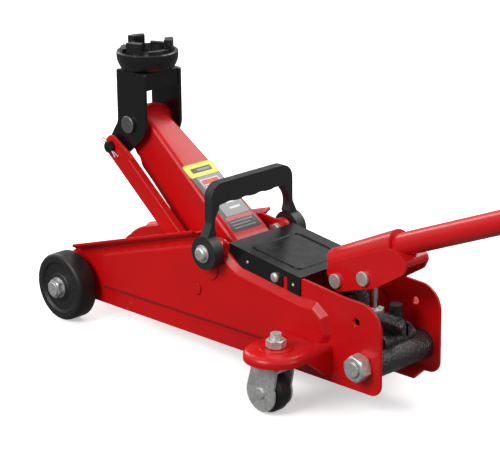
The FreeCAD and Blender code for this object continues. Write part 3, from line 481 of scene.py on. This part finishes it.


# A low dome on every point of the mesh that carries it, flattened along Y so it faces out to the sides.
def makeRivetTree():
    tree, source, sink = startTree("rivetTree", [
        ("Radius", "Float", 0.002), ("Dome", "Float", 0.5), ("Finish", "Material", None)])
    ball = addNode(tree, "GeometryNodeMeshUVSphere", {
        "Segments": 20, "Rings": 10, "Radius": source.outputs["Radius"]})
    squash = addNode(tree, "ShaderNodeCombineXYZ", {0: 1.0, 1: source.outputs["Dome"], 2: 1.0})
    low = addNode(tree, "GeometryNodeTransform", {"Geometry": ball.outputs[0], "Scale": squash.outputs[0]})
    spread = addNode(tree, "GeometryNodeInstanceOnPoints", {
        "Points": source.outputs["Geometry"], "Instance": smoothNode(tree, low.outputs[0])})
    return endTree(tree, source, sink, spread.outputs[0])


# Round ribs along a straight line, each a ring about the line's direction.
def makeRibTree():
    tree, source, sink = startTree("ribTree", [
        ("Count", "Int", 10), ("Start", "Vector", None), ("Step", "Vector", None), ("Radius", "Float", 0.012),
        ("Rib", "Float", 0.001), ("Turned", "Vector", None), ("Finish", "Material", None)])
    given = source.outputs
    line = addNode(tree, "GeometryNodeMeshLine", {
        "Count": given["Count"], "Start Location": given["Start"], "Offset": given["Step"]})
    ring = addNode(tree, "GeometryNodeCurveToMesh", {
        "Curve": circleNode(tree, 40, given["Radius"]), "Profile Curve": circleNode(tree, 8, given["Rib"])})
    spread = addNode(tree, "GeometryNodeInstanceOnPoints", {
        "Points": line.outputs[0], "Instance": smoothNode(tree, ring.outputs[0]),
        "Rotation": turnNode(tree, given["Turned"])})
    return endTree(tree, source, sink, spread.outputs[0])


trees = {"coil": makeCoilTree(), "rivet": makeRivetTree(), "rib": makeRibTree()}


# Runs a tree once and gives back a plain mesh.
def grow(name, tree, points=None, **values):
    seed = bpy.data.meshes.new(name + "Seed")
    seed.from_pydata([tuple(p) for p in (points or [(0, 0, 0)])], [], [])
    carrier = bpy.data.objects.new(name + "Seed", seed)
    bpy.context.scene.collection.objects.link(carrier)
    modifier = carrier.modifiers.new(name, "NODES")
    modifier.node_group = trees[tree]
    ids = {item.name: item.identifier for item in trees[tree].interface.items_tree
           if item.item_type == "SOCKET" and item.in_out == "INPUT"}
    for key, value in values.items():
        modifier[ids[key]] = value
    bpy.context.view_layer.update()
    depsgraph = bpy.context.evaluated_depsgraph_get()
    mesh = bpy.data.meshes.new_from_object(carrier.evaluated_get(depsgraph))
    mesh.name = name
    carrier.modifiers.remove(modifier)
    bpy.data.objects.remove(carrier)
    return mesh


print("geometry node trees made:", len(trees))


skinEdges = {
    "side_plate_left": 0.8, "side_plate_right": 0.8, "caster_bracket_left": 1.2, "caster_bracket_right": 1.2,
    "link_rod_left": 0.7, "link_rod_right": 0.7, "lift_arm": 0.9, "front_tie": 0.6,
    "handle_tube": 0.4, "handle_socket": 0.7, "saddle_bracket": 0.9, "top_cover": 0.35,
    "saddle": 0.8, "saddle_ring": 0.3, "power_unit": 1.4, "cylinder_gland": 0.8, "reservoir_tube": 0.3,
    "front_wheel_left": 0.6, "front_wheel_right": 0.6, "caster_wheel_left": 1.2, "caster_wheel_right": 1.2,
    "caster_fork_left": 0.8, "caster_fork_right": 0.8, "caster_axle_left": 0.4, "caster_axle_right": 0.4,
    "axle_washer_left": 0.3, "axle_washer_right": 0.3, "front_axle_left": 0.8, "front_axle_right": 0.8,
    "cover_stud_left": 0.3, "cover_stud_right": 0.3, "carry_bolt_left": 0.4, "carry_bolt_right": 0.4,
    "trunnion_stud": 0.9, "pump_gland": 0.5, "release_valve": 0.5, "socket_pivot_pin": 0.6, "pump_pin": 0.6,
    "link_stub_left": 0.5, "link_stub_right": 0.5, "main_shaft": 0.6, "ram_pin": 0.5, "link_pin": 0.7,
    "saddle_pin": 0.8, "filler_plug": 0.5, "plunger": 0.4, "ram": 0.7, "carry_handle": 1.4,
    "handle_grip": 1.0,
}
skins = {node: skinFor(node, width) for node, width in skinEdges.items()}

pressSettings = {"press": 46.0, "soft": 2.2, "bend": 20.0, "slope": (0.55, 0.85), "flat": 0.97, "near": 0.2,
                 "boss": (206.0, 117.0), "bossReach": 21.0}


# The raised panel's edges get a wide round, every other sharp edge the narrow one.
def softPressing(piece):
    mesh = piece.data
    bevel = piece.modifiers["softEdges"]
    narrow = bevel.width / (pressSettings["soft"] / 1000)
    work = bmesh.new()
    work.from_mesh(mesh)
    layer = work.edges.layers.float.new("bevel_weight_edge")
    bossX, bossZ = pressSettings["boss"]
    boss = spot(bossX, 0, bossZ)
    steep, shallow = pressSettings["slope"]
    for edge in work.edges:
        if len(edge.link_faces) != 2 or edge.calc_face_angle(0.0) < math.radians(pressSettings["bend"]):
            continue
        slopes = [abs(face.normal.y) for face in edge.link_faces]
        sloped = any(steep < slope < shallow for slope in slopes)
        flat = any(slope > pressSettings["flat"] for slope in slopes)
        ends = [corner.co for corner in edge.verts]
        outer = all(abs(abs(c.y) * 1000 - pressSettings["press"]) < pressSettings["near"] for c in ends)
        clear = all(math.hypot(c.x - boss.x, c.z - boss.z) * 1000 > pressSettings["bossReach"] for c in ends)
        edge[layer] = 1.0 if sloped and flat and outer and clear else narrow
    work.to_mesh(mesh)
    work.free()
    bevel.limit_method = "WEIGHT"
    bevel.width = pressSettings["soft"] / 1000
    bevel.segments = 3
    bevel.use_clamp_overlap = False


for side, sign in sides:
    softPressing(skins["side_plate_" + side])
repainted = {"saddle_pin": "greyPin", "release_valve": "unitCasting", "link_stub_left": "redPaint",
             "link_stub_right": "redPaint", "main_shaft": "redPaint"}
for node, finish in repainted.items():
    skins[node].data.materials[0] = materials[finish]


# Gives a second material to the faces that the test picks.
def paintFaces(piece, finish, wanted):
    mesh = piece.data
    mesh.materials.append(materials[finish])
    index = len(mesh.materials) - 1
    for face in mesh.polygons:
        if wanted(face):
            face.material_index = index


wheelSettings = {"rim": 26.5, "facing": 0.9}
for side, sign in sides:
    low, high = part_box("front_wheel_" + side)
    middle = (low + high) / 2

    def onFace(face, middle=middle):
        away = math.hypot(face.center.x - middle.x, face.center.z - middle.z) * 1000
        flat = abs(face.normal.y) > wheelSettings["facing"]
        outside = face.center.y * middle.y > middle.y ** 2
        return flat and outside and away < wheelSettings["rim"]

    paintFaces(skins["front_wheel_" + side], "wheelFace", onFace)
print("skins made:", len(skins))


nutSettings = {
    "axle_nut": {"flats": 17.0, "hole": 7.1, "chamfer": 0.97},
    "trunnion_nut": {"flats": 22.0, "hole": 7.1, "chamfer": 0.95},
    "caster_nut": {"flats": 16.0, "hole": 5.1, "chamfer": 0.95},
}
for kind, settings in nutSettings.items():
    for side, sign in sides:
        node = kind + "_" + side
        low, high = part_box(node)
        middle = (low + high) / 2
        if kind == "caster_nut":
            axis = Vector((0, 0, 1))
            start = Vector((middle.x, middle.y, low.z))
            thick = (high.z - low.z) * 1000
        else:
            axis = Vector((0, sign, 0))
            start = Vector((middle.x, low.y if sign > 0 else high.y, middle.z))
            thick = (high.y - low.y) * 1000
        mesh = nutMesh(node + "Hex", start, axis, settings["flats"], thick, settings["hole"],
                       settings["chamfer"])
        newPiece(node + "Hex", mesh, nodeBody[node], "zinc", nodeSlot[node], node)
print("nuts made")


springSettings = {"peg": (205.0, 62.0), "anchor": (357.0, 44.0), "y": 31.0, "radius": 3.6, "wire": 0.75,
                  "turns": 52.0, "lead": 8.0, "steps": 16, "eye": 3.75, "eyeWire": 0.7, "eyeSteps": 32,
                  "stemStart": 3.0, "stemMiddle": 4.0}


# The straight wire between a spring's eye and its coil.
def stemMesh(end, way):
    lead = springSettings["lead"] / 1000
    radius = springSettings["eyeWire"] / 1000
    turned = Vector((0, 0, 1)).rotation_difference(way).to_euler()
    middle = end + way * (lead + springSettings["stemMiddle"] / 1000) / 2
    stem = bpy.data.meshes.new("stem")
    work = bmesh.new()
    bmesh.ops.create_cone(work, segments=10, radius1=radius, radius2=radius, cap_ends=True,
                          depth=lead - springSettings["stemStart"] / 1000,
                          matrix=Matrix.Translation(middle) @ turned.to_matrix().to_4x4())
    work.to_mesh(stem)
    work.free()
    return stem


eyeAngles = [2 * math.pi * k / 8 for k in range(9)]
eyeProfile = [(springSettings["eye"] + springSettings["eyeWire"] * math.cos(a),
               springSettings["eyeWire"] * math.sin(a)) for a in eyeAngles]
for side, sign in sides:
    pegX, pegZ = springSettings["peg"]
    anchorX, anchorZ = springSettings["anchor"]
    peg = spot(pegX, sign * springSettings["y"], pegZ)
    anchor = spot(anchorX, sign * springSettings["y"], anchorZ)
    way = (anchor - peg).normalized()
    lead = springSettings["lead"] / 1000
    turned = Vector((0, 0, 1)).rotation_difference(way).to_euler()
    coil = grow("springCoil", "coil", Turns=springSettings["turns"], Radius=springSettings["radius"] / 1000,
                Length=(anchor - peg).length - 2 * lead, Wire=springSettings["wire"] / 1000,
                Steps=springSettings["steps"], Turned=tuple(turned), Start=tuple(peg + way * lead),
                Finish=materials["springSteel"])
    loops = []
    for end, sense in ((peg, 1), (anchor, -1)):
        loops.append(turnedMesh("eye", eyeProfile, end, springSettings["eyeSteps"]))
        loops.append(stemMesh(end, way * sense))
    mesh = joinMeshes("returnSpring", [coil] + loops)
    smoothByAngle(mesh, 60)
    newPiece("returnSpring_" + side, mesh, "chassis", "springSteel", "spring_steel", "return_spring_" + side)
print("springs made")


threadSettings = {
    "frontAxleThread": {"at": (0.0, 34.4), "radius": 6.75, "run": (70.6, 77.1), "pitch": 1.25},
    "trunnionThread": {"at": (389.0, 51.4), "radius": 6.75, "run": (40.8, 54.3), "pitch": 1.5},
}
casterThread = {"at": (323.5, 82.0, 63.6), "radius": 4.8, "length": 12.4, "pitch": 1.25}
threadForm = {"sink": 0.02, "wire": 0.36, "steps": 36}


def threadMesh(name, start, axis, radius, length, pitch):
    turned = Vector((0, 0, 1)).rotation_difference(axis).to_euler()
    return grow(name, "coil", Turns=length / pitch, Radius=(radius - threadForm["sink"]) / 1000,
                Length=length / 1000, Wire=pitch * threadForm["wire"] / 1000, Steps=threadForm["steps"],
                Turned=tuple(turned), Start=tuple(start), Finish=materials["zinc"])


for name, settings in threadSettings.items():
    inner, outer = settings["run"]
    x, z = settings["at"]
    for side, sign in sides:
        mesh = threadMesh(name, spot(x, sign * inner, z), Vector((0, sign, 0)), settings["radius"],
                          outer - inner, settings["pitch"])
        newPiece(name + "_" + side, mesh, "chassis", "zinc", "zinc")
for side, sign in sides:
    x, y, z = casterThread["at"]
    mesh = threadMesh("casterThread", spot(x, sign * y, z), Vector((0, 0, 1)), casterThread["radius"],
                      casterThread["length"], casterThread["pitch"])
    newPiece("casterThread_" + side, mesh, "caster_" + side, "zinc", "zinc")
print("threads made")


gripSettings = {"tilt": 22.5, "mouth": (396.0, 155.5), "out": 460.0, "length": 110.0, "inset": 8.0,
                "radius": 12.6, "rib": 0.7, "count": 24, "step": 4.1}
tilt = math.radians(gripSettings["tilt"])
handleWay = Vector((math.cos(tilt), 0, math.sin(tilt)))
mouth = spot(gripSettings["mouth"][0], 0, gripSettings["mouth"][1])
gripOut = gripSettings["out"] - gripSettings["length"] + gripSettings["inset"]
gripStart = mouth + handleWay * gripOut / 1000
turned = Vector((0, 0, 1)).rotation_difference(handleWay).to_euler()
mesh = grow("gripRibs", "rib", Count=gripSettings["count"], Start=tuple(gripStart),
            Step=tuple(handleWay * gripSettings["step"] / 1000), Radius=gripSettings["radius"] / 1000,
            Rib=gripSettings["rib"] / 1000, Turned=tuple(turned), Finish=materials["gripRubber"])
newPiece("gripRibs", mesh, "handle", "gripRubber", "grip_rubber")
print("grip made")


rivetSettings = {"places": ((246.5, 114.0), (305.3, 106.6)), "out": 42.1, "radius": 1.5, "dome": 0.5}
points = [spot(x, sign * rivetSettings["out"], z) for x, z in rivetSettings["places"] for side, sign in sides]
mesh = grow("coverRivets", "rivet", points, Radius=rivetSettings["radius"] / 1000, Dome=rivetSettings["dome"],
            Finish=materials["zinc"])
newPiece("coverRivets", mesh, "chassis", "zinc", "black_paint")
print("rivets made")


# The path is along the pin and across it; each leg takes its own side.
pinSettings = {"top": (44.5, 182.3), "run": (0.7806, -0.6250), "y": -33.7, "wire": 0.65, "apart": 0.6,
               "path": ((-12.2, 0), (-11.0, 3.4), (-8.2, 2.6), (-6.4, 1), (6.0, 1), (9.0, 1.4), (13.2, 3.2))}
pinWay = Vector((pinSettings["run"][0], 0, pinSettings["run"][1])).normalized()
pinAt = spot(pinSettings["top"][0], pinSettings["y"], pinSettings["top"][1])


def wireMesh(name, points, radius):
    curve = bpy.data.curves.new(name, "CURVE")
    curve.dimensions = "3D"
    curve.bevel_depth = radius / 1000
    curve.bevel_resolution = 3
    curve.use_fill_caps = True
    spline = curve.splines.new("NURBS")
    spline.points.add(len(points) - 1)
    for target, point in zip(spline.points, points):
        target.co = (*point, 1)
    spline.use_endpoint_u = True
    spline.order_u = 3
    spline.resolution_u = 10
    carrier = bpy.data.objects.new(name, curve)
    bpy.context.scene.collection.objects.link(carrier)
    depsgraph = bpy.context.evaluated_depsgraph_get()
    mesh = bpy.data.meshes.new_from_object(carrier.evaluated_get(depsgraph))
    bpy.data.objects.remove(carrier)
    return mesh


out = Vector((0, -1, 0))
legs = []
for lift in (-pinSettings["apart"], pinSettings["apart"]):
    points = [pinAt + pinWay * s / 1000 + out * lift * t / 1000 for s, t in pinSettings["path"]]
    legs.append(wireMesh("leg", points, pinSettings["wire"]))
mesh = joinMeshes("splitPinWire", legs)
smoothByAngle(mesh, 50)
newPiece("splitPinWire", mesh, "link_rods", "zinc", "zinc", "split_pin")
print("small wire made")


# A thin sheet on the arm's top, from s0 to s1 down the slope and t0 to t1 across it.
def roundedPanel(name, down, across, radius, lift):
    s0, s1 = down
    t0, t1 = across
    loop = []
    for cs, ct, start in ((s1 - radius, t1 - radius, 0), (s0 + radius, t1 - radius, 90),
                          (s0 + radius, t0 + radius, 180), (s1 - radius, t0 + radius, 270)):
        for k in range(5):
            a = math.radians(start + 22.5 * k)
            loop.append((cs + radius * math.cos(a), ct + radius * math.sin(a)))
    points = [armSpot(s, t, lift) for s, t in loop]
    mesh = bpy.data.meshes.new(name)
    mesh.from_pydata([tuple(p) for p in points], [], [tuple(range(len(points)))])
    if mesh.polygons[0].normal.z < 0:
        mesh.flip_normals()
    return mesh


armSlope = {"start": (133.5, 175.88), "drop": 0.6979}
slopeLength = math.hypot(1, armSlope["drop"])
slopeWay = Vector((1 / slopeLength, 0, -armSlope["drop"] / slopeLength))
slopeUp = Vector((armSlope["drop"] / slopeLength, 0, 1 / slopeLength))


# s runs down the arm's slope, t across it, lift away from it, in mm.
def armSpot(s, t, lift):
    x, z = armSlope["start"]
    return spot(x, 0, z) + slopeWay * s / 1000 + Vector((0, t / 1000, 0)) + slopeUp * lift / 1000


labelSettings = {"lift": 0.08, "layer": 0.05}
labelPanels = [
    ("labelBase", "labelBlack", (1.0, 86.0), (-18.0, 18.0), 1.5, 0),
    ("labelBand", "labelYellow", (-1.0, 15.0), (-18.8, 18.8), 3.0, 1),
    ("labelMark", "labelBlack", (4.2, 10.2), (-12.0, 13.0), 0.6, 2),
    ("labelMarkRow", "labelGrey", (6.0, 8.4), (-5.0, 11.0), 0.4, 3),
    ("labelTitle", "labelGrey", (15.5, 36.0), (-12.5, 17.0), 0.8, 1),
    ("labelTitleBar", "labelWhite", (19.0, 26.5), (-11.0, 12.0), 0.8, 2),
    ("labelTitleRed", "labelRed", (20.0, 25.5), (-10.0, 11.0), 0.6, 3),
    ("labelTitleBarLow", "labelWhite", (28.0, 33.5), (-10.0, 3.0), 0.8, 2),
    ("labelPanel", "labelGrey", (38.0, 67.0), (-12.5, 17.0), 0.8, 1),
    ("labelRedRow", "labelRed", (67.8, 72.0), (-16.0, 16.5), 0.5, 1),
]
for k in range(3):
    top = 43.0 + 7.0 * k
    labelPanels.append(("labelRow%d" % k, "labelWhite", (top, top + 2.4), (-2.0, 11.0), 0.3, 3))
for k in range(3):
    top = 74.0 + 3.6 * k
    rightEnd = 14.0 - 5.0 * (k % 2)
    labelPanels.append(("labelNote%d" % k, "labelGrey", (top, top + 1.2), (-14.0, rightEnd), 0.3, 3))
for name, finish, down, across, radius, layer in labelPanels:
    lift = labelSettings["lift"] + labelSettings["layer"] * layer
    newPiece(name, roundedPanel(name, down, across, radius, lift), "lift_arm", finish, "red_paint")
print("label made")


carrySettings = {"at": (206.0, 117.0), "face": 59.7, "steps": 64}
ringProfile = [(12.6, -0.2), (12.6, 0.0), (13.0, 0.3), (14.2, 0.3), (14.6, 0.0), (14.6, -0.2)]
carryX, carryZ = carrySettings["at"]
for side, sign in sides:
    centre = spot(carryX, sign * carrySettings["face"], carryZ)
    ring = turnedMesh("bossRing", ringProfile, centre, carrySettings["steps"])
    newPiece("carryTrim_" + side, ring, "carry_handle", "carryPlastic", "carry_plastic")
print("carrying handle's rings made")


floorSettings = {"half": 40.0, "drop": 0.0004, "glow": 0.42}
half = floorSettings["half"]
floorMesh = bpy.data.meshes.new("floor")
floorMesh.from_pydata([(-half, -half, 0), (half, -half, 0), (half, half, 0), (-half, half, 0)], [],
                      [(0, 1, 2, 3)])
floor = bpy.data.objects.new("floor", floorMesh)
scene = bpy.context.scene
scene.collection.objects.link(floor)
paleFloor = startMaterial("paleFloor", Base_Color=(0.9, 0.9, 0.9, 1), Roughness=0.9,
                          Emission_Color=(1, 1, 1, 1), Emission_Strength=floorSettings["glow"])[0]
floorMesh.materials.append(paleFloor)
floor.location.z = -floorSettings["drop"]
floor.visible_glossy = False
floor.visible_diffuse = False

worldSettings = {"above": 0.6, "below": 0.16, "from": -0.15, "to": 0.35}
world = bpy.data.worlds.new("studio")
scene.world = world
world.use_nodes = True
sky = world.node_tree
skyWay = sky.nodes.new("ShaderNodeTexCoord").outputs["Generated"]
height = addNode(sky, "ShaderNodeSeparateXYZ", {0: skyWay}).outputs["Z"]
glow = rangeNode(sky, height, worldSettings["from"], worldSettings["to"], worldSettings["below"],
                 worldSettings["above"])
sky.links.new(glow, sky.nodes["Background"].inputs["Strength"])
sky.nodes["Background"].inputs["Color"].default_value = (1, 1, 1, 1)
scene.view_settings.view_transform = "Standard"

lightSettings = [
    ("backSoftbox", (0.15, 1.55, 1.75), (-0.05, 0.0, 0.15), (1.5, 0.9), 24.0),
    ("keySoftbox", (-0.35, -1.9, 1.35), (0.0, 0.0, 0.12), (1.1, 1.1), 34.0),
    ("rearStrip", (2.0, 0.5, 0.9), (0.1, 0.0, 0.1), (0.5, 1.2), 8.0),
    ("leftStrip", (-1.9, 0.2, 1.0), (-0.2, 0.0, 0.15), (0.5, 1.3), 8.0),
]
for name, place, aim, size, power in lightSettings:
    lamp = bpy.data.lights.new(name, "AREA")
    lamp.shape = "RECTANGLE"
    lamp.size, lamp.size_y = size
    lamp.energy = power
    holder = bpy.data.objects.new(name, lamp)
    scene.collection.objects.link(holder)
    holder.location = place
    holder.rotation_euler = (Vector(aim) - Vector(place)).to_track_quat("-Z", "Y").to_euler()

cameraSettings = {"azimuth": 46.204, "elevation": 18.08, "roll": -0.676, "lens": 145.32,
                  "place": (1509.87, -1249.70, 720.38)}
azimuth = math.radians(cameraSettings["azimuth"])
elevation = math.radians(cameraSettings["elevation"])
roll = math.radians(cameraSettings["roll"])
back = Vector((math.sin(azimuth) * math.cos(elevation), -math.cos(azimuth) * math.cos(elevation),
               math.sin(elevation)))
level = Vector((math.cos(azimuth), math.sin(azimuth), 0))
upright = back.cross(level)
right = level * math.cos(roll) + upright * math.sin(roll)
above = upright * math.cos(roll) - level * math.sin(roll)
lens = bpy.data.cameras.new("camera")
lens.lens = cameraSettings["lens"]
lens.sensor_width = 36
lens.clip_start = 0.01
camera = bpy.data.objects.new("camera", lens)
scene.collection.objects.link(camera)
turn = Matrix((right, above, back)).transposed().to_4x4()
camera.matrix_world = Matrix.Translation(spot(*cameraSettings["place"])) @ turn
scene.camera = camera
print("stage made")

plainNodes = [n for n, o in cadNodes.items() if not o.hide_render]
for node in plainNodes:
    cadNodes[node].data.materials.clear()
    cadNodes[node].data.materials.append(materials[slotMaterial[nodeSlot[node]]])
print("CAD nodes shown as they are:", plainNodes)
